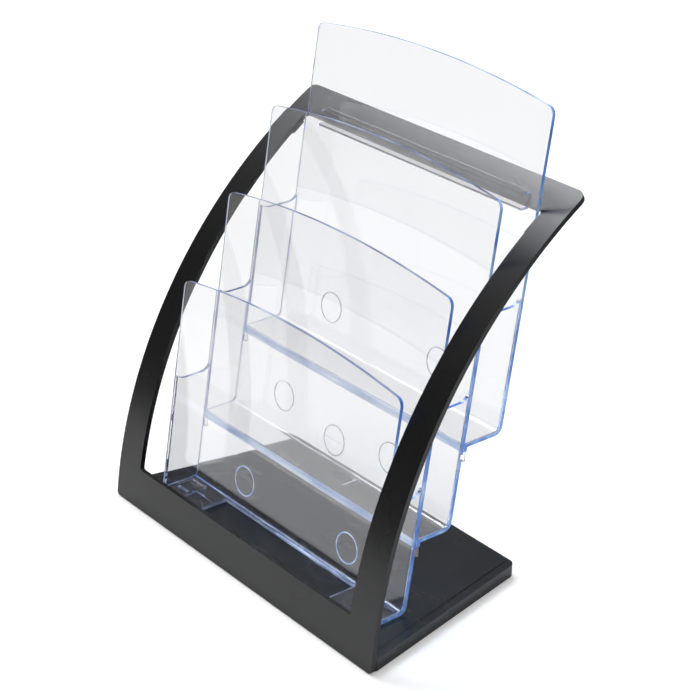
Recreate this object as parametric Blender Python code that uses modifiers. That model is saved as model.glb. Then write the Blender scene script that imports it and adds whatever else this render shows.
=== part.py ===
"""Three-tier counter-top brochure rack.

A black moulded arch stands on a black tapered base plate and carries three clear
pocket mouldings that step up and back.  Metres, +Z up, +X to the right as seen from
the front, +Y to the back.  The origin is at the middle of the footprint, on the table.
"""

import math

import bmesh
import bpy
from mathutils import Matrix, Vector

MM = 0.001
GAP = 0.3 * MM                       # clearance between neighbouring pieces

# ---- overall -------------------------------------------------------------------
RACK_DEPTH = 175.0 * MM              # front of the arch to the back of its top bar
FRONT_Y = -RACK_DEPTH / 2

# ---- arch frame: a sheet bent to one radius ------------------------------------
ARCH_RADIUS = 355.7 * MM             # front face
ARCH_CENTRE_Y = FRONT_Y + 354.7 * MM
ARCH_CENTRE_Z = -27.8 * MM
ARCH_THICKNESS = 3.6 * MM
ARCH_START = math.radians(4.57)      # just above the table
ARCH_END = math.radians(59.3)        # back edge of the top bar
FOOT_HALF_WIDTH = 143.0 * MM
TOP_HALF_WIDTH = 135.1 * MM
WINDOW_HALF_WIDTH = 117.3 * MM
WINDOW_START = math.radians(9.4)
WINDOW_END = math.radians(55.6)
ARCH_SEGMENTS = 44
TAB_START = math.radians(52.7)       # small guide tabs on the legs' inner edges
TAB_END = math.radians(54.5)
TAB_REACH = 2.2 * MM

# ---- base plate ----------------------------------------------------------------
BASE_BOTTOM = 0.5 * MM
BASE_TOP = 9.5 * MM
BASE_FRONT_Y = FRONT_Y + 5.2 * MM
BASE_BACK_Y = FRONT_Y + 151.5 * MM
BASE_FRONT_HALF_WIDTH = 142.0 * MM
BASE_BACK_HALF_WIDTH = 113.0 * MM
BASE_CORNER_RADIUS = 6.0 * MM
BASE_WALL = 2.5 * MM

# ---- tongues and screws that tie the arch to the base --------------------------
TONGUE_X = (-100.0 * MM, -40.0 * MM, 40.0 * MM, 100.0 * MM)
TONGUE_WIDTH = 20.0 * MM
TONGUE_BOTTOM = 3.4 * MM
TONGUE_TOP = 5.6 * MM
TONGUE_BACK_Y = FRONT_Y + 19.0 * MM
SCREW_Y = FRONT_Y + 13.0 * MM
SCREW_SHANK_RADIUS = 1.5 * MM
SCREW_HEAD_RADIUS = 3.0 * MM
SCREW_HEAD_BOTTOM = 1.3 * MM
SCREW_TOP = 8.3 * MM
BOSS_RADIUS = 4.0 * MM

# ---- rubber feet ---------------------------------------------------------------
FOOT_RADIUS = 6.0 * MM
FOOT_HEIGHT = 2.2 * MM
FOOT_LAND_RADIUS = 8.0 * MM
FOOT_PLACES = ((-118.0 * MM, 32.0 * MM), (118.0 * MM, 32.0 * MM),
               (-98.0 * MM, 138.0 * MM), (98.0 * MM, 138.0 * MM))

# ---- clear pockets -------------------------------------------------------------
WALL_LEAN = math.radians(8.7)        # all four upright walls lean back alike
WALL_THICKNESS = 2.5 * MM
POCKET_HALF_WIDTH = 114.5 * MM
WALL_FOOT_Y = [FRONT_Y + y * MM for y in (20.0, 50.0, 78.9, 111.4)]   # at table height
WALL_TOP_Z = [z * MM for z in (175.5, 231.6, 286.2, 337.6)]           # top of each arch
ARCH_RISE = 8.8 * MM                 # how much each wall's top edge bows up
WALL_CORNER_RADIUS = 6.0 * MM
FLOOR_TOP_Z = [z * MM for z in (12.6, 62.0, 118.6)]
FLOOR_THICKNESS = 2.6 * MM
FLOOR_RIM_HEIGHT = 5.4 * MM          # deeper front edge of the two upper floors
FLOOR_RIM_DEPTH = 3.0 * MM
BEND_RADIUS = 6.0 * MM               # outer radius where a floor turns up into a wall
SIDE_TOP_Z = [z * MM for z in (93.8, 149.0, 204.0)]
SCOOP_FRONT_RADIUS = 10.0 * MM       # side walls sweep up where they meet the uprights
SCOOP_BACK_RADIUS = 8.0 * MM
SIDE_INSET = 0.2 * MM
FLOOR_CUTOUT_HALF_WIDTH = 72.0 * MM  # open middle of the lowest floor
FLOOR_CUTOUT_BACK_Y = FRONT_Y + 47.0 * MM
CATCH_WIDTH = 2.3 * MM               # hooks at the side walls lock each tier to the next
CATCH_DROP = 7.0 * MM
CATCH_THICKNESS = 2.2 * MM
CATCH_BITE = 1.4 * MM                # how far a hook's nose reaches into the upright
LUG_X = 103.0 * MM                   # lugs of the lowest floor in the base's slots
LUG_Y = FRONT_Y + 32.0 * MM
LUG_WIDTH = 11.0 * MM
LUG_THICKNESS = 2.4 * MM
LUG_BOTTOM = 5.4 * MM
RIB_HALF_LENGTH = 100.0 * MM         # hooked ribs that hold the top bar's edge
RIB_THICKNESS = 1.6 * MM
UPPER_RIB_Z = 271.0 * MM
UPPER_RIB_BACK_Y = FRONT_Y + 159.9 * MM
LOWER_RIB_Z = 261.0 * MM
LOWER_RIB_BACK_Y = FRONT_Y + 159.0 * MM

BLACK = (0.012, 0.012, 0.013)
BASE_BLACK = (0.018, 0.021, 0.023)
CLEAR = (0.80, 0.86, 0.95)
RUBBER = (0.02, 0.02, 0.02)
STEEL = (0.55, 0.55, 0.56)


# ---- scene helpers -------------------------------------------------------------
def clear_scene():
    for obj in list(bpy.data.objects):
        bpy.data.objects.remove(obj)


def new_collection(name):
    collection = bpy.data.collections.new(name)
    bpy.context.scene.collection.children.link(collection)
    return collection


def new_material(name, colour, roughness, metallic=0.0):
    material = bpy.data.materials.new(name)
    material.use_nodes = True
    shader = material.node_tree.nodes["Principled BSDF"]
    shader.inputs["Base Color"].default_value = (*colour, 1.0)
    shader.inputs["Roughness"].default_value = roughness
    shader.inputs["Metallic"].default_value = metallic
    return material


def plate(name, outline, thickness, matrix):
    """A flat plate: a closed outline in the local XY plane, extruded both ways in Z."""
    curve = bpy.data.curves.new(name, "CURVE")
    curve.dimensions = "2D"
    curve.fill_mode = "BOTH"
    curve.extrude = thickness / 2
    spline = curve.splines.new("POLY")
    spline.points.add(len(outline) - 1)
    for point, (x, y) in zip(spline.points, outline):
        point.co = (x, y, 0.0, 1.0)
    spline.use_cyclic_u = True
    drawn = bpy.data.objects.new(name, curve)
    bpy.context.scene.collection.objects.link(drawn)
    drawn.matrix_world = matrix
    bpy.context.view_layer.update()
    evaluated = drawn.evaluated_get(bpy.context.evaluated_depsgraph_get())
    mesh = bpy.data.meshes.new_from_object(evaluated)
    bpy.data.objects.remove(drawn)
    return meshed(name, mesh, matrix)


def meshed(name, mesh, matrix):
    """Weld a mesh's loose caps and make it an object."""
    shape = bmesh.new()
    shape.from_mesh(mesh)
    bmesh.ops.remove_doubles(shape, verts=shape.verts, dist=0.00001)
    bmesh.ops.recalc_face_normals(shape, faces=shape.faces)
    shape.to_mesh(mesh)
    shape.free()
    obj = bpy.data.objects.new(name, mesh)
    bpy.context.scene.collection.objects.link(obj)
    obj.matrix_world = matrix
    bpy.context.view_layer.update()
    return obj


def box(name, low, high, cuts_y=0):
    """An axis-aligned block between two corners."""
    mesh = bpy.data.meshes.new(name)
    shape = bmesh.new()
    bmesh.ops.create_cube(shape, size=1.0)
    if cuts_y:
        along = [e for e in shape.edges if abs(e.verts[0].co.y - e.verts[1].co.y) > 0.5]
        bmesh.ops.subdivide_edges(shape, edges=along, cuts=cuts_y, use_grid_fill=True)
    for vert in shape.verts:
        for axis in range(3):
            middle = (low[axis] + high[axis]) / 2
            vert.co[axis] = middle + vert.co[axis] * (high[axis] - low[axis])
    shape.to_mesh(mesh)
    shape.free()
    obj = bpy.data.objects.new(name, mesh)
    bpy.context.scene.collection.objects.link(obj)
    return obj


def cylinder(name, radius, bottom, top, x, y, sides=24):
    mesh = bpy.data.meshes.new(name)
    shape = bmesh.new()
    bmesh.ops.create_cone(shape, cap_ends=True, segments=sides, radius1=radius,
                          radius2=radius, depth=top - bottom)
    shape.to_mesh(mesh)
    shape.free()
    obj = bpy.data.objects.new(name, mesh)
    obj.location = (x, y, (bottom + top) / 2)
    bpy.context.scene.collection.objects.link(obj)
    bpy.context.view_layer.update()
    return obj


def turned(name, profile, x, y, sides=24):
    """A turned piece: a radius-and-height profile, top to bottom, spun about Z."""
    mesh = bpy.data.meshes.new(name)
    mesh.from_pydata([(r, 0.0, z) for r, z in profile],
                     [(i, i + 1) for i in range(len(profile) - 1)], [])
    obj = bpy.data.objects.new(name, mesh)
    obj.location = (x, y, 0.0)
    bpy.context.scene.collection.objects.link(obj)
    spin = obj.modifiers.new("Spin", "SCREW")
    spin.steps = sides
    spin.render_steps = sides
    spin.use_merge_vertices = True
    spin.merge_threshold = 0.00002
    return obj


def combine(target, tool, operation):
    """Boolean one mesh object with another and remove the tool."""
    change = target.modifiers.new(operation.title(), "BOOLEAN")
    change.operation = operation
    change.solver = "EXACT"
    change.object = tool
    bpy.context.view_layer.update()
    evaluated = target.evaluated_get(bpy.context.evaluated_depsgraph_get())
    mesh = bpy.data.meshes.new_from_object(evaluated)
    target.modifiers.clear()
    target.data = mesh
    bpy.data.objects.remove(tool)


def finish(obj, collection, material, angle=35.0):
    """Give a piece its material, put it in the rack's collection and shade it."""
    obj.data.materials.clear()
    obj.data.materials.append(material)
    for other in list(obj.users_collection):
        other.objects.unlink(obj)
    collection.objects.link(obj)
    obj.data.shade_smooth()
    obj.data.set_sharp_from_angle(angle=math.radians(angle))
    return obj


# ---- outline helpers -----------------------------------------------------------
def arc_points(centre, radius, start, end, steps):
    """Points of an arc, angles in radians, both ends included."""
    points = []
    for i in range(steps + 1):
        angle = start + (end - start) * i / steps
        points.append((centre[0] + radius * math.cos(angle),
                       centre[1] + radius * math.sin(angle)))
    return points


def rounded(corners, radii, steps=6):
    """A closed outline whose corners are replaced by arcs of the given radii."""
    points = []
    count = len(corners)
    for i, radius in enumerate(radii):
        here = Vector(corners[i])
        if radius <= 0:
            points.append(tuple(here))
            continue
        back = (Vector(corners[i - 1]) - here).normalized()
        ahead = (Vector(corners[(i + 1) % count]) - here).normalized()
        half = back.angle(ahead) / 2
        centre = here + (back + ahead).normalized() * (radius / math.sin(half))
        first = here + back * (radius / math.tan(half)) - centre
        last = here + ahead * (radius / math.tan(half)) - centre
        start = math.atan2(first.y, first.x)
        sweep = math.atan2(last.y, last.x) - start
        sweep = (sweep + math.pi) % (2 * math.pi) - math.pi
        points += arc_points(centre, radius, start, start + sweep, steps)
    return points


def side_matrix(x):
    """Local XY is the world's YZ plane, at a given X."""
    return Matrix(((0, 0, 1, x), (1, 0, 0, 0), (0, 1, 0, 0), (0, 0, 0, 1)))


def wall_matrix(wall):
    """Local X is the world's X, local Y runs up a leaning wall from table height."""
    turn = Matrix.Rotation(math.radians(90) - WALL_LEAN, 4, "X")
    return Matrix.Translation((0.0, WALL_FOOT_Y[wall], 0.0)) @ turn


def wall_y(wall, z, offset=0.0):
    """World Y of a wall's middle plane at height z, moved back by offset."""
    return WALL_FOOT_Y[wall] + z * math.tan(WALL_LEAN) + offset / math.cos(WALL_LEAN)


# ---- arch frame ----------------------------------------------------------------
def bend_to_arch(obj):
    """Bend a flat sheet, Y along the arc and Z outwards, to the arch's radius."""
    for vert in obj.data.vertices:
        angle = vert.co.y / ARCH_RADIUS
        radius = ARCH_RADIUS + vert.co.z
        vert.co.y = ARCH_CENTRE_Y - radius * math.cos(angle)
        vert.co.z = ARCH_CENTRE_Z + radius * math.sin(angle)


def arch_half_width(angle):
    """Half width of the arch, narrowing in proportion to height."""
    foot = math.sin(ARCH_START)
    share = (math.sin(angle) - foot) / (math.sin(ARCH_END) - foot)
    return FOOT_HALF_WIDTH + (TOP_HALF_WIDTH - FOOT_HALF_WIDTH) * share


def guide_tab(side):
    """A small tab on a leg's inner edge, on the back half of the sheet."""
    middle = (TAB_START + TAB_END) / 2
    length = (TAB_END - TAB_START) * ARCH_RADIUS
    inner = side * (WINDOW_HALF_WIDTH - TAB_REACH)
    outer = side * (WINDOW_HALF_WIDTH + 2 * MM)
    depth = -ARCH_THICKNESS + 0.2 * MM
    tab = box("tab", (min(inner, outer), -length / 2, depth),
              (max(inner, outer), length / 2, depth / 2))
    out = Vector((0.0, -math.cos(middle), math.sin(middle)))
    along = Vector((0.0, math.sin(middle), math.cos(middle)))
    place = Matrix.Identity(4)
    place.col[1] = (*along, 0.0)
    place.col[2] = (*out, 0.0)
    centre = Vector((0.0, ARCH_CENTRE_Y, ARCH_CENTRE_Z)) + out * ARCH_RADIUS
    place.col[3] = (*centre, 1.0)
    tab.matrix_world = place
    return tab


def build_arch(collection, material):
    start = ARCH_START * ARCH_RADIUS
    end = ARCH_END * ARCH_RADIUS
    sheet = box("arch_frame", (-FOOT_HALF_WIDTH, start, -ARCH_THICKNESS),
                (FOOT_HALF_WIDTH, end, 0.0), cuts_y=ARCH_SEGMENTS - 1)
    steps = 12
    right = []
    for i in range(steps + 1):
        angle = ARCH_START + (ARCH_END - ARCH_START) * i / steps
        right.append((arch_half_width(angle), angle * ARCH_RADIUS))
    corners = right + [(-x, y) for x, y in reversed(right)]
    radii = [0.0] * len(corners)
    radii[0] = 3.0 * MM
    radii[-1] = 3.0 * MM
    radii[steps] = 7.0 * MM
    radii[steps + 1] = 7.0 * MM
    flat = Matrix.Translation((0.0, 0.0, -ARCH_THICKNESS / 2))
    outer = plate("outer_shape", rounded(corners, radii), ARCH_THICKNESS * 3, flat)
    combine(sheet, outer, "INTERSECT")
    low = WINDOW_START * ARCH_RADIUS
    high = WINDOW_END * ARCH_RADIUS
    half = WINDOW_HALF_WIDTH
    window = [(-half, low), (half, low), (half, high), (-half, high)]
    opening = plate("window", rounded(window, (2 * MM, 2 * MM, 4 * MM, 4 * MM)),
                    ARCH_THICKNESS * 3, flat)
    combine(sheet, opening, "DIFFERENCE")
    bend_to_arch(sheet)
    for side in (-1, 1):
        combine(sheet, guide_tab(side), "UNION")
    for x in TONGUE_X:
        tongue = box("tongue", (x - TONGUE_WIDTH / 2, FRONT_Y + 2.0 * MM, TONGUE_BOTTOM),
                     (x + TONGUE_WIDTH / 2, TONGUE_BACK_Y, TONGUE_TOP))
        combine(sheet, tongue, "UNION")
        hole = cylinder("hole", SCREW_SHANK_RADIUS + GAP, TONGUE_BOTTOM - MM,
                        TONGUE_TOP + MM, x, SCREW_Y)
        combine(sheet, hole, "DIFFERENCE")
    return finish(sheet, collection, material)


# ---- base plate ----------------------------------------------------------------
def base_outline(inset):
    """Plan of the base, drawn inwards by inset."""
    slope = (BASE_FRONT_HALF_WIDTH - BASE_BACK_HALF_WIDTH) / (BASE_BACK_Y - BASE_FRONT_Y)
    front = BASE_FRONT_HALF_WIDTH - inset * (math.sqrt(1 + slope ** 2) + slope)
    back = BASE_BACK_HALF_WIDTH - inset * (math.sqrt(1 + slope ** 2) - slope)
    corners = [(-front, BASE_FRONT_Y + inset), (front, BASE_FRONT_Y + inset),
               (back, BASE_BACK_Y - inset), (-back, BASE_BACK_Y - inset)]
    rear = max(BASE_CORNER_RADIUS - inset, MM)
    return rounded(corners, (MM, MM, rear, rear))


def build_base(collection, material):
    middle = (BASE_BOTTOM + BASE_TOP) / 2
    base = plate("base_plate", base_outline(0.0), BASE_TOP - BASE_BOTTOM,
                 Matrix.Translation((0.0, 0.0, middle)))
    hollow_top = BASE_TOP - BASE_WALL
    hollow = plate("hollow", base_outline(BASE_WALL), 2 * (hollow_top - BASE_BOTTOM),
                   Matrix.Translation((0.0, 0.0, BASE_BOTTOM)))
    combine(base, hollow, "DIFFERENCE")
    for x in TONGUE_X:
        notch = box("notch", (x - TONGUE_WIDTH / 2 - GAP, BASE_FRONT_Y - MM, -MM),
                    (x + TONGUE_WIDTH / 2 + GAP, BASE_FRONT_Y + BASE_WALL + MM,
                     TONGUE_TOP + GAP))
        combine(base, notch, "DIFFERENCE")
        boss = cylinder("boss", BOSS_RADIUS, TONGUE_TOP + GAP, hollow_top + MM, x, SCREW_Y)
        combine(base, boss, "UNION")
        bore = cylinder("bore", SCREW_SHANK_RADIUS + GAP, TONGUE_TOP - MM,
                        SCREW_TOP + GAP, x, SCREW_Y)
        combine(base, bore, "DIFFERENCE")
    for x, y in FOOT_PLACES:
        land = cylinder("land", FOOT_LAND_RADIUS, FOOT_HEIGHT + GAP, hollow_top + MM,
                        x, FRONT_Y + y)
        combine(base, land, "UNION")
    for side in (-1, 1):
        slot_half = LUG_WIDTH / 2 + GAP
        slot = box("slot", (side * LUG_X - slot_half, LUG_Y - LUG_THICKNESS / 2 - GAP,
                            hollow_top - MM),
                   (side * LUG_X + slot_half, LUG_Y + LUG_THICKNESS / 2 + GAP,
                    BASE_TOP + MM))
        combine(base, slot, "DIFFERENCE")
    return finish(base, collection, material)


# ---- clear pockets -------------------------------------------------------------
def bend_arc(wall, floor_z, outer):
    """Arc, in (y, z), where a floor's face turns up into its back wall's face."""
    offset = WALL_THICKNESS / 2
    radius = BEND_RADIUS if outer else BEND_RADIUS - WALL_THICKNESS
    face = offset if outer else -offset
    level = floor_z - FLOOR_THICKNESS if outer else floor_z
    centre_z = level + radius
    centre_y = wall_y(wall, centre_z, face) - radius / math.cos(WALL_LEAN)
    return arc_points((centre_y, centre_z), radius, -math.pi / 2, -WALL_LEAN, 6)


def arch_cutter(wall):
    """Everything above a wall's bowed top edge, in a slab around that wall only."""
    length = WALL_TOP_Z[wall] / math.cos(WALL_LEAN)
    half = POCKET_HALF_WIDTH
    radius = (half ** 2 + ARCH_RISE ** 2) / (2 * ARCH_RISE)
    spread = math.asin((half - WALL_CORNER_RADIUS) / radius)
    top = arc_points((0.0, length - radius), radius, math.pi / 2 - spread,
                     math.pi / 2 + spread, 20)
    corner_low = top[0][1] - WALL_CORNER_RADIUS
    turn = math.pi / 2 - spread
    right = arc_points((top[0][0] - WALL_CORNER_RADIUS * math.cos(turn),
                        top[0][1] - WALL_CORNER_RADIUS * math.sin(turn)),
                       WALL_CORNER_RADIUS, 0.0, turn, 6)
    right = [(x * (half / right[0][0]), y) for x, y in right]
    left = [(-x, y) for x, y in reversed(right)]
    edge = right[:-1] + top + left[1:]
    reach = half + 5 * MM
    ceiling = length + 20 * MM
    outline = [(reach, corner_low)] + edge + [(-reach, corner_low), (-reach, ceiling),
                                              (reach, ceiling)]
    return plate("arch_cutter", outline, 12 * MM, wall_matrix(wall))


def section(name, outline):
    """A side-view section in (y, z), extruded across the pockets' full width."""
    return plate(name, outline, 2 * POCKET_HALF_WIDTH, side_matrix(0.0))


def side_wall(front, back, floor, x):
    """One side wall between two uprights, with its top edge scooped down."""
    low = FLOOR_TOP_Z[floor] - FLOOR_THICKNESS / 2
    top = SIDE_TOP_Z[floor]
    face = WALL_THICKNESS / 2
    if floor == 0:
        front_edge = 0.0
        scoop_edge = face - SIDE_INSET
    else:
        front_edge = face + GAP + SIDE_INSET
        scoop_edge = front_edge
    start_angle = math.radians(225)
    start_z = top + SCOOP_FRONT_RADIUS * (1 + math.sin(start_angle))
    front_centre = wall_y(front, start_z, scoop_edge) - SCOOP_FRONT_RADIUS * math.cos(start_angle)
    outline = [(wall_y(front, low, front_edge), low)]
    if floor == 0:
        outline += [(wall_y(front, start_z, front_edge), start_z)]
    outline += arc_points((front_centre, top + SCOOP_FRONT_RADIUS), SCOOP_FRONT_RADIUS,
                          start_angle, math.radians(270), 5)
    end_z = top + SCOOP_BACK_RADIUS
    back_centre = wall_y(back, end_z, SIDE_INSET - face) - SCOOP_BACK_RADIUS
    outline += arc_points((back_centre, end_z), SCOOP_BACK_RADIUS, math.radians(-90),
                          math.radians(-3), 6)
    bend_z = FLOOR_TOP_Z[floor] + BEND_RADIUS
    outline += [(wall_y(back, end_z), end_z), (wall_y(back, bend_z), bend_z)]
    outline += [(wall_y(back, low) - BEND_RADIUS / 2, low)]
    return plate("side_wall", outline, WALL_THICKNESS, side_matrix(x))


def add_side_walls(pocket, front, back, floor):
    for side in (-1, 1):
        x = side * (POCKET_HALF_WIDTH - SIDE_INSET - WALL_THICKNESS / 2)
        combine(pocket, side_wall(front, back, floor, x), "UNION")


def catch_notches(pocket, wall, floor):
    """Notches in an upright's back edges that the next tier's hooks sit in."""
    z = FLOOR_TOP_Z[floor] - FLOOR_RIM_HEIGHT - CATCH_DROP / 2
    inner = POCKET_HALF_WIDTH - SIDE_INSET - CATCH_WIDTH - GAP
    outer = POCKET_HALF_WIDTH + MM
    front_y = wall_y(wall, z, WALL_THICKNESS / 2) - CATCH_BITE - GAP
    for side in (-1, 1):
        notch = box("notch", (min(side * inner, side * outer), front_y, z - 2 * MM - GAP),
                    (max(side * inner, side * outer), front_y + 6 * MM, z + 2 * MM + GAP))
        combine(pocket, notch, "DIFFERENCE")


def build_lower_pocket(collection, material):
    half_wall = WALL_THICKNESS / 2
    floor_top = FLOOR_TOP_Z[0]
    floor_low = floor_top - FLOOR_THICKNESS
    outline = [(wall_y(0, floor_low, -half_wall), floor_low)]
    outline += [(wall_y(0, WALL_TOP_Z[0], -half_wall), WALL_TOP_Z[0])]
    outline += [(wall_y(0, WALL_TOP_Z[0], half_wall), WALL_TOP_Z[0])]
    outline += [(wall_y(0, floor_top, half_wall), floor_top)]
    outline += bend_arc(1, floor_top, False)
    outline += [(wall_y(1, WALL_TOP_Z[1], -half_wall), WALL_TOP_Z[1])]
    outline += [(wall_y(1, WALL_TOP_Z[1], half_wall), WALL_TOP_Z[1])]
    outline += list(reversed(bend_arc(1, floor_top, True)))
    pocket = section("lower_pocket", outline)
    combine(pocket, arch_cutter(0), "DIFFERENCE")
    combine(pocket, arch_cutter(1), "DIFFERENCE")
    cutout = box("cutout", (-FLOOR_CUTOUT_HALF_WIDTH, wall_y(0, floor_top, half_wall) + MM,
                            floor_low - MM),
                 (FLOOR_CUTOUT_HALF_WIDTH, FLOOR_CUTOUT_BACK_Y, floor_top + 0.5 * MM))
    combine(pocket, cutout, "DIFFERENCE")
    add_side_walls(pocket, 0, 1, 0)
    catch_notches(pocket, 1, 1)
    for side in (-1, 1):
        lug = box("lug", (side * LUG_X - LUG_WIDTH / 2, LUG_Y - LUG_THICKNESS / 2, LUG_BOTTOM),
                  (side * LUG_X + LUG_WIDTH / 2, LUG_Y + LUG_THICKNESS / 2,
                   floor_top - MM))
        combine(pocket, lug, "UNION")
    return finish(pocket, collection, material)


def build_upper_tier(name, front, back, floor, collection, material):
    """A tier that hangs on the wall in front of it: floor, side walls and back wall."""
    half_wall = WALL_THICKNESS / 2
    floor_top = FLOOR_TOP_Z[floor]
    floor_low = floor_top - FLOOR_THICKNESS
    rim_low = floor_top - FLOOR_RIM_HEIGHT
    contact = half_wall + GAP
    outline = [(wall_y(front, rim_low, contact), rim_low)]
    outline += [(wall_y(front, floor_top, contact), floor_top)]
    outline += bend_arc(back, floor_top, False)
    outline += [(wall_y(back, WALL_TOP_Z[back], -half_wall), WALL_TOP_Z[back])]
    outline += [(wall_y(back, WALL_TOP_Z[back], half_wall), WALL_TOP_Z[back])]
    outline += list(reversed(bend_arc(back, floor_top, True)))
    rim_back = wall_y(front, rim_low, contact) + FLOOR_RIM_DEPTH
    outline += [(rim_back, floor_low), (rim_back, rim_low)]
    pocket = section(name, outline)
    combine(pocket, arch_cutter(back), "DIFFERENCE")
    add_side_walls(pocket, front, back, floor)
    catch_z = rim_low - CATCH_DROP / 2
    lean_y = wall_y(front, rim_low, contact)
    inner = POCKET_HALF_WIDTH - SIDE_INSET - CATCH_WIDTH
    outer = POCKET_HALF_WIDTH - SIDE_INSET
    for side in (-1, 1):
        low_x = min(side * inner, side * outer)
        high_x = max(side * inner, side * outer)
        leg = box("leg", (low_x, lean_y, rim_low - CATCH_DROP),
                  (high_x, lean_y + CATCH_THICKNESS, rim_low + MM))
        combine(pocket, leg, "UNION")
        nose_y = wall_y(front, catch_z, half_wall) - CATCH_BITE
        nose = box("nose", (low_x, nose_y, catch_z - 2 * MM),
                   (high_x, lean_y + MM, catch_z + 2 * MM))
        combine(pocket, nose, "UNION")
    return pocket


def build_middle_pocket(collection, material):
    pocket = build_upper_tier("middle_pocket", 1, 2, 1, collection, material)
    catch_notches(pocket, 2, 2)
    return finish(pocket, collection, material)


def build_upper_pocket(collection, material):
    pocket = build_upper_tier("upper_pocket", 2, 3, 2, collection, material)
    for z, back_y in ((UPPER_RIB_Z, UPPER_RIB_BACK_Y), (LOWER_RIB_Z, LOWER_RIB_BACK_Y)):
        rib = box("rib", (-RIB_HALF_LENGTH, wall_y(3, z), z - RIB_THICKNESS / 2),
                  (RIB_HALF_LENGTH, back_y, z + RIB_THICKNESS / 2))
        combine(pocket, rib, "UNION")
    return finish(pocket, collection, material)


# ---- small parts ---------------------------------------------------------------
def build_screws(collection, material):
    head_top = TONGUE_BOTTOM - GAP
    for number, x in enumerate(TONGUE_X, start=1):
        profile = [(0.0, SCREW_TOP), (SCREW_SHANK_RADIUS * 0.6, SCREW_TOP),
                   (SCREW_SHANK_RADIUS, SCREW_TOP - MM), (SCREW_SHANK_RADIUS, head_top),
                   (SCREW_HEAD_RADIUS, head_top),
                   (SCREW_HEAD_RADIUS, SCREW_HEAD_BOTTOM + 0.7 * MM),
                   (SCREW_HEAD_RADIUS * 0.7, SCREW_HEAD_BOTTOM), (0.0, SCREW_HEAD_BOTTOM)]
        screw = turned(f"frame_screw_{number}", profile, x, SCREW_Y)
        finish(screw, collection, material)


def build_feet(collection, material):
    for number, (x, y) in enumerate(FOOT_PLACES, start=1):
        edge = 0.5 * MM
        profile = [(0.0, FOOT_HEIGHT), (FOOT_RADIUS, FOOT_HEIGHT), (FOOT_RADIUS, edge),
                   (FOOT_RADIUS - edge, 0.0), (0.0, 0.0)]
        foot = turned(f"rubber_foot_{number}", profile, x, FRONT_Y + y)
        finish(foot, collection, material)


def main():
    clear_scene()
    rack = new_collection("brochure_rack")
    black = new_material("arch_black", BLACK, 0.32)
    base_black = new_material("base_black", BASE_BLACK, 0.22)
    clear = new_material("clear_styrene", CLEAR, 0.03)
    rubber = new_material("foot_rubber", RUBBER, 0.8)
    steel = new_material("screw_steel", STEEL, 0.35, 1.0)
    build_arch(rack, black)
    build_base(rack, base_black)
    build_lower_pocket(rack, clear)
    build_middle_pocket(rack, clear)
    build_upper_pocket(rack, clear)
    build_screws(rack, steel)
    build_feet(rack, rubber)


main()
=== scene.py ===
"""Three-tier counter-top brochure rack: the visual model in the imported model's frame.

A satin black moulded arch on a black base plate carries three clear styrene pockets.
Each shown piece starts from its solid in the frame, so it keeps the frame's sizes, and
gets rounded edges, moulding marks and procedural materials here.  Metres, +Z up.
"""

import math

import bmesh
import bpy
from mathutils import Matrix, Vector
from mathutils.bvhtree import BVHTree


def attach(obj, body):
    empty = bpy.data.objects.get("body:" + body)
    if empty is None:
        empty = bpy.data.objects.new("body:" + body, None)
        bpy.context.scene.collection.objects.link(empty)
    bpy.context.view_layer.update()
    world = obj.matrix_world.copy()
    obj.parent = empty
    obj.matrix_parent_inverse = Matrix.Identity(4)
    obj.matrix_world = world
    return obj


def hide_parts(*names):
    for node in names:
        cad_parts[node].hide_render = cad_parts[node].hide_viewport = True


MM = 0.001
UP = Vector((0.0, 0.0, 1.0))

# ---- camera --------------------------------------------------------------------
CAMERA_PLACE = (0.9131, -0.7452, 0.7161)
CAMERA_AZIMUTH = 50.394              # degrees to the right of straight ahead
CAMERA_DOWN = 25.864
CAMERA_ROLL = -0.837
CAMERA_LENS = 101.26                 # mm
CAMERA_SENSOR = 36.0                 # mm
CAMERA_REACH = 50.0

# ---- studio --------------------------------------------------------------------
MAX_BOUNCES = 48                     # light runs a long way inside the clear sheets
WHITE = (1.0, 1.0, 1.0, 1.0)
ROOM_LOW = 0.12                      # brightness of the surround near the horizon
ROOM_HIGH = 0.82                     # and overhead
ROOM_TINT = (1.0, 1.0, 1.01)
ROOM_STEPS = ((0.0, ROOM_LOW), (0.40, ROOM_LOW), (0.62, ROOM_HIGH * 0.42),
              (0.75, ROOM_HIGH))     # sine of the elevation, brightness there
SOFTBOX_LEVEL = 10.5
SOFTBOX_TINT = (0.96, 0.99, 1.05)
SOFTBOX_AZIMUTH = -80.0
SOFTBOX_BOTTOM = (0.665, 0.785)      # its soft borders, as sines of the elevation
SOFTBOX_TOP = (0.93, 0.97)
SOFTBOX_SIDES = (0.83, 0.96)         # and as cosines of the turn from its azimuth
LAMP_PLACE = (0.2, 0.1, 2.2)
LAMP_TARGET = (0.0, 0.0, 0.1)
LAMP_SIDE = 1.6
LAMP_POWER = 3.0
FLOOR_HALF = 6.0
FLOOR_COLOUR = (0.915, 0.905, 0.885, 1.0)
# painted shade: the table's colour in reflections away from the rack
FLOOR_DARK = (0.05, 0.05, 0.05, 1.0)
FLOOR_FADE = (0.40, 0.95, 0.0, 0.85)   # start and end of the fade, its least and most
FLOOR_LIFT = 0.22

# ---- black arch and base -------------------------------------------------------
ARCH_AXIS = Vector((0.0, 267.2 * MM, -27.8 * MM))
ARCH_ROUNDING = 0.6 * MM
ON_CYLINDER = 0.995                  # cosine between a face and the arch's radius
BASE_ROUNDING = 0.7 * MM
BASE_TOP = 9.5 * MM
BASE_LINE = ((134.8 * MM, -78.5 * MM), (107.4 * MM, 60.0 * MM))   # groove, right side
BASE_LINE_WIDTH = 0.7 * MM
BASE_LINE_DEPTH = 0.4 * MM

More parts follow.
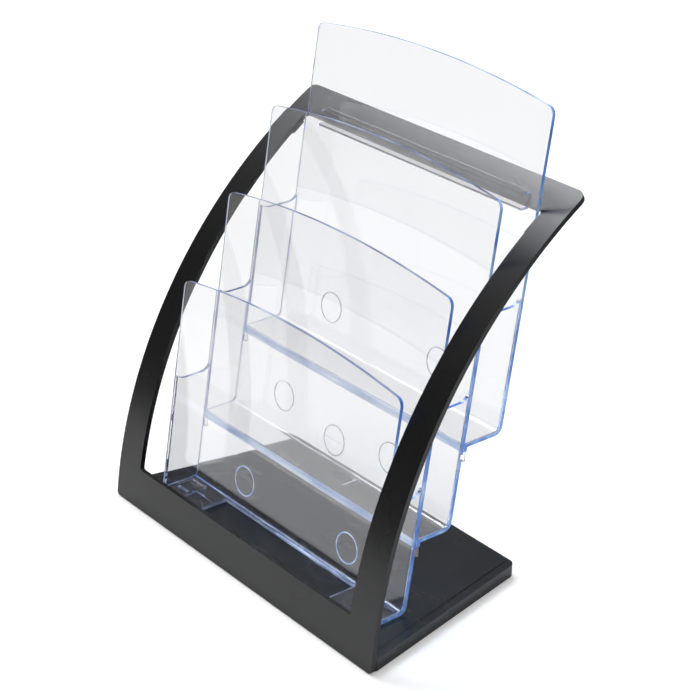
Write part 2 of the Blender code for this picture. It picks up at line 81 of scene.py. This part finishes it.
# ---- clear pockets -------------------------------------------------------------
CLEAR, EDGE, RIM, PALE, FAR = range(5)   # the pockets' material slots; all but CLEAR are painted glows of light piped along the sheet
WALL_LEAN = math.radians(8.7)
WALL_THICKNESS = 2.5 * MM
WALL_FOOT_Y = {"B": -37.5 * MM, "C": -8.6 * MM, "D": 23.9 * MM}   # middle, at table height
CLEAR_ROUNDING = 0.35 * MM
BROAD_FACE = 4.0 * MM                # faces broader than this are shaded flat
SKIN = 0.02 * MM                     # depth is measured from this far below a face
EDGE_DEPTH = 5.0 * MM                # more plastic than this behind a face: an edge
EDGE_WIDTH = 3.0 * MM
PLATE_AREA = 300.0 * MM ** 2
LEVEL = 0.99                         # a normal's part along Z on a level face
RIM_TOPS = (62.1 * MM, 118.7 * MM)   # front strips of the two upper floors, painted with the rim glow
RIM_HEIGHT = 5.7 * MM
RIM_FACING = 0.9                     # how squarely a strip's face looks to the front
TOP_HALF_LENGTH = 105.0 * MM         # straight part of the uprights' top edges
TOP_SLOPE = 0.5
HEADER_Z = 300.0 * MM                # the header's top edge gets the paler painted rim glow
HOOK_TOPS = {"lower": 0.0, "middle": 56.4 * MM, "upper": 113.0 * MM}
LOW_BEND_Z = 20.0 * MM               # one facet of the lowest floor's bend gets the painted blue edge glow
LOW_BEND_FRONT = 0.3                 # its normal leans at least this far to the front
LOW_BEND_UP = 0.9
LOW_BEND_SIDE = 0.1
FAR_FACING = 0.7                     # faces turned this far to the left get the far-end painted glow
PALE_X = 40.0 * MM                   # edges left of this are seen through the sheet and get the dim painted glow
RIB_ZONE = (259.0 * MM, 273.0 * MM)  # the two ribs behind the header stay clear
RIB_HALF_LENGTH = 99.8 * MM
RING_RADIUS = 10.65 * MM             # ejector rings moulded into the upright walls
RING_GROOVE = 0.5 * MM
RING_FLANK = 0.45                    # groove faces turned further sideways get a painted blue glow
RINGS = {"lower": (("B", -58.3 * MM, 30.5 * MM), ("B", 54.9 * MM, 30.5 * MM)),
         "middle": (("C", -59.4 * MM, 85.8 * MM), ("C", 54.5 * MM, 85.8 * MM),
                    ("C", -1.7 * MM, 75.7 * MM)),
         "upper": (("D", -58.7 * MM, 142.6 * MM), ("D", 53.0 * MM, 142.6 * MM))}
CROSS_MARK = ("C", -1.7 * MM, 75.7 * MM)   # short line through the middle ring
CROSS_MARK_WIDTH = 0.5 * MM
FLOOR_RIBS = {                       # mm: low x and y, high x and y, foot z, height
    "lower": ((-110.0, -55.0, -109.2, -43.0, 12.4, 2.2),
              (-110.0, -43.8, -92.0, -43.0, 12.4, 2.2),
              (-92.8, -60.0, -92.0, -43.0, 12.4, 2.2),
              (-92.0, -52.0, -70.0, -51.2, 12.4, 2.2),
              (-70.8, -61.0, -70.0, -44.5, 12.4, 1.2),
              (100.0, -62.0, 100.8, -41.5, 12.4, 2.2),
              (100.8, -42.3, 110.0, -41.5, 12.4, 2.2),
              (104.0, -58.0, 110.0, -57.2, 12.4, 2.2)),
    "middle": ((31.2, -20.5, 32.0, 0.6, 61.9, 0.7),),
    "upper": ()}

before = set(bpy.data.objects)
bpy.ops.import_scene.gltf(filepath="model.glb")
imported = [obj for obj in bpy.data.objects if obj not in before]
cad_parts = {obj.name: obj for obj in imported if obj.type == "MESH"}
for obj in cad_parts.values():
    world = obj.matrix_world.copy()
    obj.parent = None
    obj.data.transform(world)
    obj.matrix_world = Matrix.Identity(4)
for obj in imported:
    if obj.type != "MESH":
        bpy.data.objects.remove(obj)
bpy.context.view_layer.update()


# ---- node helpers --------------------------------------------------------------
def join(tree, value, socket):
    """Link a node's output to the socket, or set the socket to a plain value."""
    if isinstance(value, bpy.types.NodeSocket):
        tree.links.new(value, socket)
    else:
        socket.default_value = value


def shader_tree(name):
    """A new material with the nodes that every material here starts from."""
    mat = bpy.data.materials.new(name)
    mat.use_nodes = True
    tree = mat.node_tree
    tree.nodes.clear()
    out = tree.nodes.new("ShaderNodeOutputMaterial")
    shader = tree.nodes.new("ShaderNodeBsdfPrincipled")
    place = tree.nodes.new("ShaderNodeTexCoord")
    tree.links.new(shader.outputs["BSDF"], out.inputs["Surface"])
    return mat, tree, shader, place.outputs["Object"], out


def noise(tree, place, scale, detail=3.0, stretch=(1.0, 1.0, 1.0)):
    """Noise over the object, finer where scale is larger, squeezed by stretch."""
    shape = tree.nodes.new("ShaderNodeMapping")
    shape.inputs["Scale"].default_value = stretch
    tree.links.new(place, shape.inputs["Vector"])
    node = tree.nodes.new("ShaderNodeTexNoise")
    node.inputs["Scale"].default_value = scale
    node.inputs["Detail"].default_value = detail
    tree.links.new(shape.outputs["Vector"], node.inputs["Vector"])
    return node.outputs["Fac"]


def remap(tree, value, low, high, start=0.0, end=1.0, soft=True):
    """The value between low and high turned into start to end, eased where soft."""
    node = tree.nodes.new("ShaderNodeMapRange")
    node.interpolation_type = "SMOOTHSTEP" if soft else "LINEAR"
    limits = {"From Min": low, "From Max": high, "To Min": start, "To Max": end}
    for name, number in limits.items():
        node.inputs[name].default_value = number
    tree.links.new(value, node.inputs["Value"])
    return node.outputs["Result"]


def spread(tree, value, low, high):
    """A noise value, mostly 0.3 to 0.7, mapped to low..high."""
    return remap(tree, value, 0.3, 0.7, low, high, soft=False)


def ramp(tree, value, stops):
    """A colour from pairs of position and colour."""
    node = tree.nodes.new("ShaderNodeValToRGB")
    while len(node.color_ramp.elements) < len(stops):
        node.color_ramp.elements.new(0.5)
    for element, (position, colour) in zip(node.color_ramp.elements, stops):
        element.position = position
        element.color = (*colour, 1.0)
    tree.links.new(value, node.inputs["Fac"])
    return node.outputs["Color"]


def math_node(tree, operation, first, second=0.0, clamp=False):
    """One sum of two values, each a number or a node's output."""
    node = tree.nodes.new("ShaderNodeMath")
    node.operation = operation
    node.use_clamp = clamp
    join(tree, first, node.inputs[0])
    join(tree, second, node.inputs[1])
    return node.outputs["Value"]


def bump(tree, shader, height, distance, strength=1.0, normal=None):
    """Bumps from a height, on top of another bump if one is given."""
    node = tree.nodes.new("ShaderNodeBump")
    node.inputs["Distance"].default_value = distance
    node.inputs["Strength"].default_value = strength
    tree.links.new(height, node.inputs["Height"])
    if normal is not None:
        tree.links.new(normal, node.inputs["Normal"])
    if shader is not None:
        tree.links.new(node.outputs["Normal"], shader.inputs["Normal"])
    return node.outputs["Normal"]


def mix_shaders(tree, amount, first, second):
    """The first shader where amount is 0 and the second where it is 1."""
    mix = tree.nodes.new("ShaderNodeMixShader")
    tree.links.new(amount, mix.inputs["Fac"])
    tree.links.new(first, mix.inputs[1])
    tree.links.new(second, mix.inputs[2])
    return mix.outputs["Shader"]


# ---- materials -----------------------------------------------------------------
def black_plastic(name, dark, light, rough, grain):
    """Moulded black plastic: fine spark-eroded grain, faint flow clouds and smudged gloss.
    """
    mat, tree, shader, place, _ = shader_tree(name)
    clouds = noise(tree, place, 9.0, 4.0, (1.0, 0.5, 0.5))
    colour = ramp(tree, clouds, ((0.3, dark), (0.75, light)))
    tree.links.new(colour, shader.inputs["Base Color"])
    smudge = noise(tree, place, 26.0, 2.0, (1.0, 2.2, 1.0))
    tree.links.new(spread(tree, smudge, *rough), shader.inputs["Roughness"])
    shader.inputs["Specular IOR Level"].default_value = 0.5
    fine = noise(tree, place, 2600.0, 2.0)
    soft = noise(tree, place, 420.0, 2.0)
    first = bump(tree, None, soft, grain * 0.6, 0.25)
    bump(tree, shader, fine, grain, 0.35, first)
    return mat


def pass_light(tree, shader, out, tint):
    """Lamps shine through the plastic, so its shadow is as pale as the real one."""
    path = tree.nodes.new("ShaderNodeLightPath")
    clear = tree.nodes.new("ShaderNodeBsdfTransparent")
    clear.inputs["Color"].default_value = (*tint, 1.0)
    mixed = mix_shaders(tree, path.outputs["Is Shadow Ray"], shader.outputs["BSDF"],
                        clear.outputs["BSDF"])
    tree.links.new(mixed, out.inputs["Surface"])


def clear_plastic(name):
    """Clear styrene with a faint blue body and a slight moulded ripple."""
    mat, tree, shader, place, out = shader_tree(name)
    shader.inputs["Base Color"].default_value = (0.965, 0.965, 0.968, 1.0)
    shader.inputs["Transmission Weight"].default_value = 1.0
    shader.inputs["IOR"].default_value = 1.66
    haze = noise(tree, place, 30.0, 3.0, (1.0, 1.0, 0.4))
    tree.links.new(spread(tree, haze, 0.0, 0.035), shader.inputs["Roughness"])
    ripple = noise(tree, place, 16.0, 1.0, (1.0, 1.0, 0.6))
    bump(tree, shader, ripple, 0.25 * MM, 0.35)
    pass_light(tree, shader, out, (0.93, 0.95, 0.98))
    body = tree.nodes.new("ShaderNodeVolumeAbsorption")
    body.inputs["Color"].default_value = (0.55, 0.72, 0.95, 1.0)
    body.inputs["Density"].default_value = 3.0
    tree.links.new(body.outputs["Volume"], out.inputs["Volume"])
    return mat


def painted_edge_glow(name, stretch, glow, colours):
    """Cut and moulded edges painted with the blue glow of light that has run along the
    sheet: a blue colour that also shines as emission.
    """
    mat, tree, shader, place, out = shader_tree(name)
    streaks = noise(tree, place, 90.0, 4.0, stretch)
    colour = ramp(tree, streaks, tuple(zip((0.34, 0.5, 0.66), colours)))
    tree.links.new(colour, shader.inputs["Base Color"])
    # Painted glow: the edge colour also lights the edge as emission, standing in for piped
    # light.
    tree.links.new(colour, shader.inputs["Emission Color"])
    shader.inputs["Emission Strength"].default_value = glow
    shader.inputs["Transmission Weight"].default_value = 0.25
    shader.inputs["IOR"].default_value = 1.5
    haze = noise(tree, place, 150.0, 3.0)
    tree.links.new(spread(tree, haze, 0.05, 0.22), shader.inputs["Roughness"])
    pass_light(tree, shader, out, (0.55, 0.70, 0.92))
    return mat


def steel(name):
    """Plated screw steel, slightly mottled."""
    mat, tree, shader, place, _ = shader_tree(name)
    shade = noise(tree, place, 700.0, 3.0)
    colour = ramp(tree, shade, ((0.3, (0.42, 0.42, 0.43)), (0.7, (0.62, 0.62, 0.64))))
    tree.links.new(colour, shader.inputs["Base Color"])
    shader.inputs["Metallic"].default_value = 1.0
    tree.links.new(spread(tree, shade, 0.22, 0.42), shader.inputs["Roughness"])
    bump(tree, shader, noise(tree, place, 3000.0, 2.0), 0.02 * MM, 0.5)
    return mat


def rubber(name):
    """Dull dark rubber."""
    mat, tree, shader, place, _ = shader_tree(name)
    shade = noise(tree, place, 300.0, 4.0)
    colour = ramp(tree, shade, ((0.3, (0.014, 0.014, 0.015)), (0.7, (0.032, 0.032, 0.033))))
    tree.links.new(colour, shader.inputs["Base Color"])
    tree.links.new(spread(tree, shade, 0.7, 0.9), shader.inputs["Roughness"])
    bump(tree, shader, noise(tree, place, 2200.0, 2.0), 0.05 * MM, 0.6)
    return mat


# ---- pieces from the frame's solids --------------------------------------------
def add_piece(name, mesh):
    """A new object with that mesh, in the scene."""
    piece = bpy.data.objects.new(name, mesh)
    bpy.context.scene.collection.objects.link(piece)
    return piece


def copy_solid(node, name):
    """A new piece with the node's shape, its triangles joined back into flat faces."""
    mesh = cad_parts[node].data.copy()
    mesh.name = name
    mesh.materials.clear()
    piece = add_piece(name, mesh)
    work = bmesh.new()
    work.from_mesh(mesh)
    bmesh.ops.remove_doubles(work, verts=work.verts, dist=0.01 * MM)
    bmesh.ops.dissolve_limit(work, angle_limit=math.radians(0.8), verts=work.verts,
                             edges=work.edges, use_dissolve_boundaries=False)
    bmesh.ops.recalc_face_normals(work, faces=work.faces)
    work.to_mesh(mesh)
    work.free()
    return piece


def apply_modifiers(piece):
    graph = bpy.context.evaluated_depsgraph_get()
    done = bpy.data.meshes.new_from_object(piece.evaluated_get(graph), depsgraph=graph)
    piece.modifiers.clear()
    piece.data = done


def round_edges(piece, width, segments=2, angle=35.0):
    """Small moulded radii on every outer edge sharper than angle."""
    work = bmesh.new()
    work.from_mesh(piece.data)
    weight = work.edges.layers.float.new("bevel_weight_edge")
    for edge in work.edges:
        sharp = edge.calc_face_angle(0.0) > math.radians(angle)
        edge[weight] = 1.0 if sharp and edge.is_convex else 0.0
    work.to_mesh(piece.data)
    work.free()
    mod = piece.modifiers.new("rounding", "BEVEL")
    mod.width = width
    mod.segments = segments
    mod.limit_method = "WEIGHT"
    mod.use_clamp_overlap = True
    mod.miter_outer = "MITER_ARC"
    apply_modifiers(piece)


def smooth(piece, angle=35.0):
    """Smooth shading whose flat faces stay flat: the small radii take up the turn."""
    for face in piece.data.polygons:
        face.use_smooth = True
    piece.data.set_sharp_from_angle(angle=math.radians(angle))
    mod = piece.modifiers.new("flat faces", "WEIGHTED_NORMAL")
    mod.mode = "FACE_AREA"
    mod.weight = 100
    mod.keep_sharp = True
    apply_modifiers(piece)


def face_width(mesh, face):
    """The short side of a long thin face, or half the side of a square one."""
    corners = [mesh.vertices[i].co for i in face.vertices]
    around = sum((a - b).length for a, b in zip(corners, corners[1:] + corners[:1]))
    return 2 * face.area / around


def flat_normals(piece):
    """Broad faces are shaded dead flat, and the rounding beside them takes up the turn."""
    mesh = piece.data
    normals = [Vector(corner.vector) for corner in mesh.corner_normals]
    for face in mesh.polygons:
        if face_width(mesh, face) > BROAD_FACE:
            for corner in face.loop_indices:
                normals[corner] = face.normal.copy()
    mesh.normals_split_custom_set(normals)


def curve_normals(piece):
    """The arch's front and back are shaded as the true cylinders that they are."""
    mesh = piece.data
    normals = [Vector(corner.vector) for corner in mesh.corner_normals]
    for face in mesh.polygons:
        out = face.center - ARCH_AXIS
        out.x = 0.0
        side = face.normal.dot(out.normalized())
        if abs(side) < ON_CYLINDER:
            continue
        for corner in face.loop_indices:
            spot = mesh.vertices[mesh.loops[corner].vertex_index].co - ARCH_AXIS
            spot.x = 0.0
            normals[corner] = spot.normalized() * math.copysign(1.0, side)
    mesh.normals_split_custom_set(normals)


def wall_face(wall, x, z):
    """Placement on an upright's front face, local Z square to it, local Y up it."""
    y = WALL_FOOT_Y[wall] + z * math.tan(WALL_LEAN)
    front = WALL_THICKNESS / 2 / math.cos(WALL_LEAN)
    turn = Matrix.Rotation(math.radians(90) - WALL_LEAN, 4, "X")
    return Matrix.Translation((x, y - front, z)) @ turn


def cut(piece, tool, operation="DIFFERENCE"):
    """Take the tool's shape out of the piece, or join it on with UNION."""
    mod = piece.modifiers.new("cut", "BOOLEAN")
    mod.operation = operation
    mod.solver = "EXACT"
    mod.object = tool
    bpy.context.view_layer.update()
    apply_modifiers(piece)
    bpy.data.objects.remove(tool)


def block(size, place):
    """A box of that size about the origin, put at place."""
    mesh = bpy.data.meshes.new("block")
    work = bmesh.new()
    bmesh.ops.create_cube(work, size=1.0)
    work.to_mesh(mesh)
    work.free()
    mesh.transform(place @ Matrix.Diagonal((*size, 1.0)))
    return add_piece("block", mesh)


def span(low, high):
    """A box between two opposite corners."""
    low, high = Vector(low), Vector(high)
    return block(high - low, Matrix.Translation((low + high) / 2))


def ring(radius, groove, place):
    """A thin torus lying in local XY."""
    work = bmesh.new()
    around, across = 64, 8
    rows = []
    for i in range(around):
        a = 2 * math.pi * i / around
        row = []
        for j in range(across):
            b = 2 * math.pi * j / across
            reach = radius + groove * math.cos(b)
            row.append(work.verts.new((reach * math.cos(a), reach * math.sin(a),
                                       groove * math.sin(b))))
        rows.append(row)
    for i in range(around):
        first, second = rows[i], rows[(i + 1) % around]
        for j in range(across):
            k = (j + 1) % across
            work.faces.new((first[j], second[j], second[k], first[k]))
    bmesh.ops.recalc_face_normals(work, faces=work.faces)
    mesh = bpy.data.meshes.new("ring")
    work.to_mesh(mesh)
    work.free()
    mesh.transform(place)
    return add_piece("ring", mesh)


def use_material(piece, *materials):
    piece.data.materials.clear()
    for mat in materials:
        piece.data.materials.append(mat)


def face_spots(mesh):
    """For each face, the middle of its largest triangle, which is always on the face."""
    mesh.calc_loop_triangles()
    largest = {}
    for part in mesh.loop_triangles:
        if part.area > largest.get(part.polygon_index, (0.0, None))[0]:
            spot = sum((mesh.vertices[i].co for i in part.vertices), Vector()) / 3
            largest[part.polygon_index] = (part.area, spot)
    return {index: spot for index, (_, spot) in largest.items()}


def clear_or_edge(face, spot, width, depth, in_ring, ring_slot, hook_top):
    """The material slot of one face of a pocket: clear, or one of the painted edge glows.
    """
    normal = face.normal
    strip = any(top - RIM_HEIGHT < spot.z < top for top in RIM_TOPS)
    rib = RIB_ZONE[0] < spot.z < RIB_ZONE[1] and abs(spot.x) < RIB_HALF_LENGTH
    plate = abs(normal.z) > LEVEL and face.area > PLATE_AREA
    top_edge = normal.z > TOP_SLOPE and abs(spot.x) < TOP_HALF_LENGTH
    thin = width < EDGE_WIDTH
    # Painted glow: the floors' front strips get the rim glow.
    if strip and normal.y < -RIM_FACING and width < RIM_HEIGHT:
        return RIM
    if spot.z < hook_top:
        return CLEAR
    # Painted glow: the low bend's up-facing facet gets the blue edge glow.
    if thin and spot.z < LOW_BEND_Z and normal.y < -LOW_BEND_FRONT \
            and normal.z > LOW_BEND_UP and abs(normal.x) < LOW_BEND_SIDE:
        return EDGE
    # Painted glow: the header's top edge gets the pale rim glow.
    if thin and top_edge and spot.z > HEADER_Z:
        return RIM
    if in_ring:
        # Painted glow: the lower rings' grooves take the rim glow, the other rings'
        # sideways flanks the pale glow.
        lit = ring_slot == RIM or abs(normal.x) > RING_FLANK
        return ring_slot if lit and width < RING_GROOVE else CLEAR
    if rib or plate or not thin or depth <= EDGE_DEPTH:
        return CLEAR
    # Painted glow: left-facing faces get the far-end glow, top edges and edges on the left
    # the dim pale glow, the rest the blue edge glow.
    if normal.x < -FAR_FACING:
        return FAR
    return PALE if top_edge or spot.x < -PALE_X else EDGE


def mark_edges(piece, rings, ring_slot, hook_top):
    """Faces that look along the sheet get a painted edge glow material, front strips the
    painted rim glow.
    """
    mesh = piece.data
    middles = [wall_face(wall, x, z).translation for wall, x, z in rings]
    tree = BVHTree.FromPolygons([vertex.co for vertex in mesh.vertices],
                                [tuple(face.vertices) for face in mesh.polygons])
    for index, spot in face_spots(mesh).items():
        face = mesh.polygons[index]
        inwards = -face.normal
        depth = tree.ray_cast(spot + inwards * SKIN, inwards)[3] or 0.0
        in_ring = any((spot - middle).length < RING_RADIUS + 2 * RING_GROOVE
                      for middle in middles)
        face.material_index = clear_or_edge(face, spot, face_width(mesh, face), depth,
                                            in_ring, ring_slot, hook_top)


def show(piece, node):
    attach(piece, "root")
    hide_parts(node)


# ---- studio --------------------------------------------------------------------
def make_camera():
    azimuth = math.radians(CAMERA_AZIMUTH)
    down = math.radians(CAMERA_DOWN)
    roll = math.radians(CAMERA_ROLL)
    ahead = Vector((-math.sin(azimuth) * math.cos(down),
                    math.cos(azimuth) * math.cos(down), -math.sin(down)))
    level = ahead.cross(UP).normalized()
    below = ahead.cross(level)
    right = level * math.cos(roll) + below * math.sin(roll)
    up = level * math.sin(roll) - below * math.cos(roll)
    data = bpy.data.cameras.new("camera")
    data.lens = CAMERA_LENS
    data.sensor_width = CAMERA_SENSOR
    data.clip_end = CAMERA_REACH
    camera = add_piece("camera", data)
    turn = Matrix((right, up, -ahead)).transposed().to_4x4()
    camera.matrix_world = Matrix.Translation(CAMERA_PLACE) @ turn
    bpy.context.scene.camera = camera


def make_lamp():
    """A broad overhead lamp that lays the soft shadow."""
    data = bpy.data.lights.new("overhead", "AREA")
    data.shape = "RECTANGLE"
    data.size = data.size_y = LAMP_SIDE
    data.energy = LAMP_POWER
    lamp = add_piece("overhead", data)
    lamp.location = LAMP_PLACE
    lamp.rotation_mode = "QUATERNION"
    aim = Vector(LAMP_TARGET) - Vector(LAMP_PLACE)
    lamp.rotation_quaternion = aim.to_track_quat("-Z", "Y")


def softbox(tree, split):
    """Brightness of the softbox in each direction: a patch with soft borders."""
    height = split.outputs["Z"]
    heading = math.radians(SOFTBOX_AZIMUTH)
    across = math_node(tree, "MULTIPLY", split.outputs["X"], math.sin(heading))
    ahead = math_node(tree, "MULTIPLY", split.outputs["Y"], math.cos(heading))
    along = math_node(tree, "ADD", across, ahead)
    # A little over 1, so that the root is never of a negative number.
    rest = math_node(tree, "SUBTRACT", 1.0001, math_node(tree, "MULTIPLY", height, height))
    turn = math_node(tree, "DIVIDE", along, math_node(tree, "SQRT", rest))
    below_top = remap(tree, height, *SOFTBOX_TOP, 1.0, 0.0)
    patch = math_node(tree, "MULTIPLY", below_top, remap(tree, turn, *SOFTBOX_SIDES))
    lit = math_node(tree, "MULTIPLY", remap(tree, height, *SOFTBOX_BOTTOM), patch)
    tint = tree.nodes.new("ShaderNodeVectorMath")
    tint.operation = "SCALE"
    tint.inputs[0].default_value = SOFTBOX_TINT
    tree.links.new(math_node(tree, "MULTIPLY", lit, SOFTBOX_LEVEL), tint.inputs["Scale"])
    return tint.outputs["Vector"]


def make_world():
    """Studio surround: a white ceiling, dim walls and one large softbox on the left."""
    world = bpy.data.worlds.new("studio")
    bpy.context.scene.world = world
    world.use_nodes = True
    tree = world.node_tree
    back = tree.nodes["Background"]
    place = tree.nodes.new("ShaderNodeTexCoord")
    split = tree.nodes.new("ShaderNodeSeparateXYZ")
    tree.links.new(place.outputs["Generated"], split.inputs["Vector"])
    room = ramp(tree, split.outputs["Z"],
                tuple((position, tuple(level * part for part in ROOM_TINT))
                      for position, level in ROOM_STEPS))
    total = tree.nodes.new("ShaderNodeVectorMath")
    total.operation = "ADD"
    tree.links.new(room, total.inputs[0])
    tree.links.new(softbox(tree, split), total.inputs[1])
    # The backdrop is white wherever it is seen directly or through the clear sheets.
    path = tree.nodes.new("ShaderNodeLightPath")
    turned = math_node(tree, "ADD", path.outputs["Glossy Depth"],
                       path.outputs["Diffuse Depth"])
    straight = math_node(tree, "LESS_THAN", turned, 0.5)
    through = math_node(tree, "MULTIPLY", path.outputs["Is Transmission Ray"], straight)
    seen = math_node(tree, "MAXIMUM", path.outputs["Is Camera Ray"], through)
    mix = tree.nodes.new("ShaderNodeMix")
    mix.data_type = "RGBA"
    tree.links.new(seen, mix.inputs["Factor"])
    tree.links.new(total.outputs["Vector"], mix.inputs["A"])
    mix.inputs["B"].default_value = WHITE
    tree.links.new(mix.outputs["Result"], back.inputs["Color"])
    back.inputs["Strength"].default_value = 1.0


def make_floor():
    """The pale table."""
    mesh = bpy.data.meshes.new("floor")
    half = FLOOR_HALF
    mesh.from_pydata([(-half, -half, 0.0), (half, -half, 0.0), (half, half, 0.0),
                      (-half, half, 0.0)], [], [(0, 1, 2, 3)])
    floor = add_piece("floor", mesh)
    mat, tree, shader, place, out = shader_tree("studio_floor")
    shader.inputs["Base Color"].default_value = FLOOR_COLOUR
    shader.inputs["Roughness"].default_value = 0.9
    shader.inputs["Specular IOR Level"].default_value = 0.1
    path = tree.nodes.new("ShaderNodeLightPath")
    # Painted shade: in reflections the table turns dark away from the rack, standing in for
    # a small lit part of the table and a dim room beyond.
    far = tree.nodes.new("ShaderNodeVectorMath")
    far.operation = "LENGTH"
    tree.links.new(place, far.inputs[0])
    fade = remap(tree, far.outputs["Value"], *FLOOR_FADE)
    mirrored = math_node(tree, "SUBTRACT", path.outputs["Is Glossy Ray"],
                         path.outputs["Is Transmission Ray"], clamp=True)
    dark = tree.nodes.new("ShaderNodeBsdfDiffuse")
    dark.inputs["Color"].default_value = FLOOR_DARK
    table = mix_shaders(tree, math_node(tree, "MULTIPLY", mirrored, fade),
                        shader.outputs["BSDF"], dark.outputs["BSDF"])
    # Seen directly, the table is exposed a little past white.
    glow = tree.nodes.new("ShaderNodeEmission")
    glow.inputs["Color"].default_value = WHITE
    lift = math_node(tree, "MULTIPLY", path.outputs["Is Camera Ray"], FLOOR_LIFT)
    tree.links.new(lift, glow.inputs["Strength"])
    total = tree.nodes.new("ShaderNodeAddShader")
    tree.links.new(table, total.inputs[0])
    tree.links.new(glow.outputs["Emission"], total.inputs[1])
    tree.links.new(total.outputs["Shader"], out.inputs["Surface"])
    mesh.materials.append(mat)


# ---- the rack ------------------------------------------------------------------
def make_arch():
    black = black_plastic("arch_black", (0.0045, 0.0046, 0.0048), (0.0075, 0.0076, 0.0078),
                          (0.25, 0.28), 0.02 * MM)
    arch = copy_solid("arch_frame", "arch_shell")
    round_edges(arch, ARCH_ROUNDING, 3)
    smooth(arch)
    curve_normals(arch)
    use_material(arch, black)
    show(arch, "arch_frame")


def make_base():
    black = black_plastic("base_black", (0.004, 0.0065, 0.0095), (0.008, 0.0115, 0.015),
                          (0.24, 0.28), 0.015 * MM)
    base = copy_solid("base_plate", "base_shell")
    round_edges(base, BASE_ROUNDING, 3)
    for side in (-1, 1):
        (x0, y0), (x1, y1) = BASE_LINE
        start = Vector((side * x0, y0, BASE_TOP))
        end = Vector((side * x1, y1, BASE_TOP))
        turn = Matrix.Rotation(math.atan2(end.y - start.y, end.x - start.x), 4, "Z")
        size = ((end - start).length, BASE_LINE_WIDTH, 2 * BASE_LINE_DEPTH)
        cut(base, block(size, Matrix.Translation((start + end) / 2) @ turn))
    smooth(base)
    flat_normals(base)
    use_material(base, black)
    show(base, "base_plate")


def make_pockets():
    clear = clear_plastic("clear_styrene")
    # Painted glow: four copies of the edge material, brighter or dimmer, whose blue colour
    # and emission stand in for light piped along the sheet.
    edge = painted_edge_glow("clear_styrene_edge_painted_glow", (1.0, 1.0, 0.5), 0.2,
                        ((0.05, 0.15, 0.52), (0.12, 0.28, 0.72), (0.40, 0.60, 0.95)))
    rim = painted_edge_glow("clear_styrene_rim_painted_glow", (0.35, 1.0, 3.0), 0.25,
                       ((0.22, 0.36, 0.72), (0.44, 0.58, 0.90), (0.78, 0.88, 1.0)))
    pale = painted_edge_glow("clear_styrene_dim_edge_painted_glow", (0.4, 1.0, 0.4), 0.08,
                        ((0.14, 0.17, 0.30), (0.28, 0.34, 0.54), (0.60, 0.68, 0.86)))
    far = painted_edge_glow("clear_styrene_far_end_painted_glow", (0.4, 1.0, 0.4), 0.25,
                       ((0.14, 0.26, 0.62), (0.58, 0.64, 0.86), (0.80, 0.85, 0.97)))
    for tier in ("lower", "middle", "upper"):
        pocket = copy_solid(f"{tier}_pocket", f"{tier}_pocket_moulding")
        round_edges(pocket, CLEAR_ROUNDING)
        for x0, y0, x1, y1, foot, height in FLOOR_RIBS[tier]:
            low = (x0 * MM, y0 * MM, foot * MM)
            cut(pocket, span(low, (x1 * MM, y1 * MM, (foot + height) * MM)), "UNION")
        for wall, x, z in RINGS[tier]:
            cut(pocket, ring(RING_RADIUS, RING_GROOVE, wall_face(wall, x, z)))
        if tier == "middle":
            line = (2 * RING_RADIUS, CROSS_MARK_WIDTH, CROSS_MARK_WIDTH)
            cut(pocket, block(line, wall_face(*CROSS_MARK)))
        use_material(pocket, clear, edge, rim, pale, far)
        mark_edges(pocket, RINGS[tier], RIM if tier == "lower" else PALE, HOOK_TOPS[tier])
        smooth(pocket, 20.0)
        flat_normals(pocket)
        show(pocket, f"{tier}_pocket")


def dress_small_parts():
    """The screws and feet keep their solids and get procedural materials."""
    metal = steel("screw_steel")
    grip = rubber("foot_rubber")
    for name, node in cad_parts.items():
        if name.startswith("frame_screw"):
            node.material_slots[0].material = metal
        if name.startswith("rubber_foot"):
            node.material_slots[0].material = grip


def main():
    scene = bpy.context.scene
    scene.view_settings.view_transform = "Standard"
    scene.cycles.max_bounces = MAX_BOUNCES
    scene.cycles.transmission_bounces = MAX_BOUNCES
    scene.cycles.glossy_bounces = MAX_BOUNCES
    make_camera()
    make_world()
    make_floor()
    make_lamp()
    make_arch()
    make_base()
    make_pockets()
    dress_small_parts()


main()
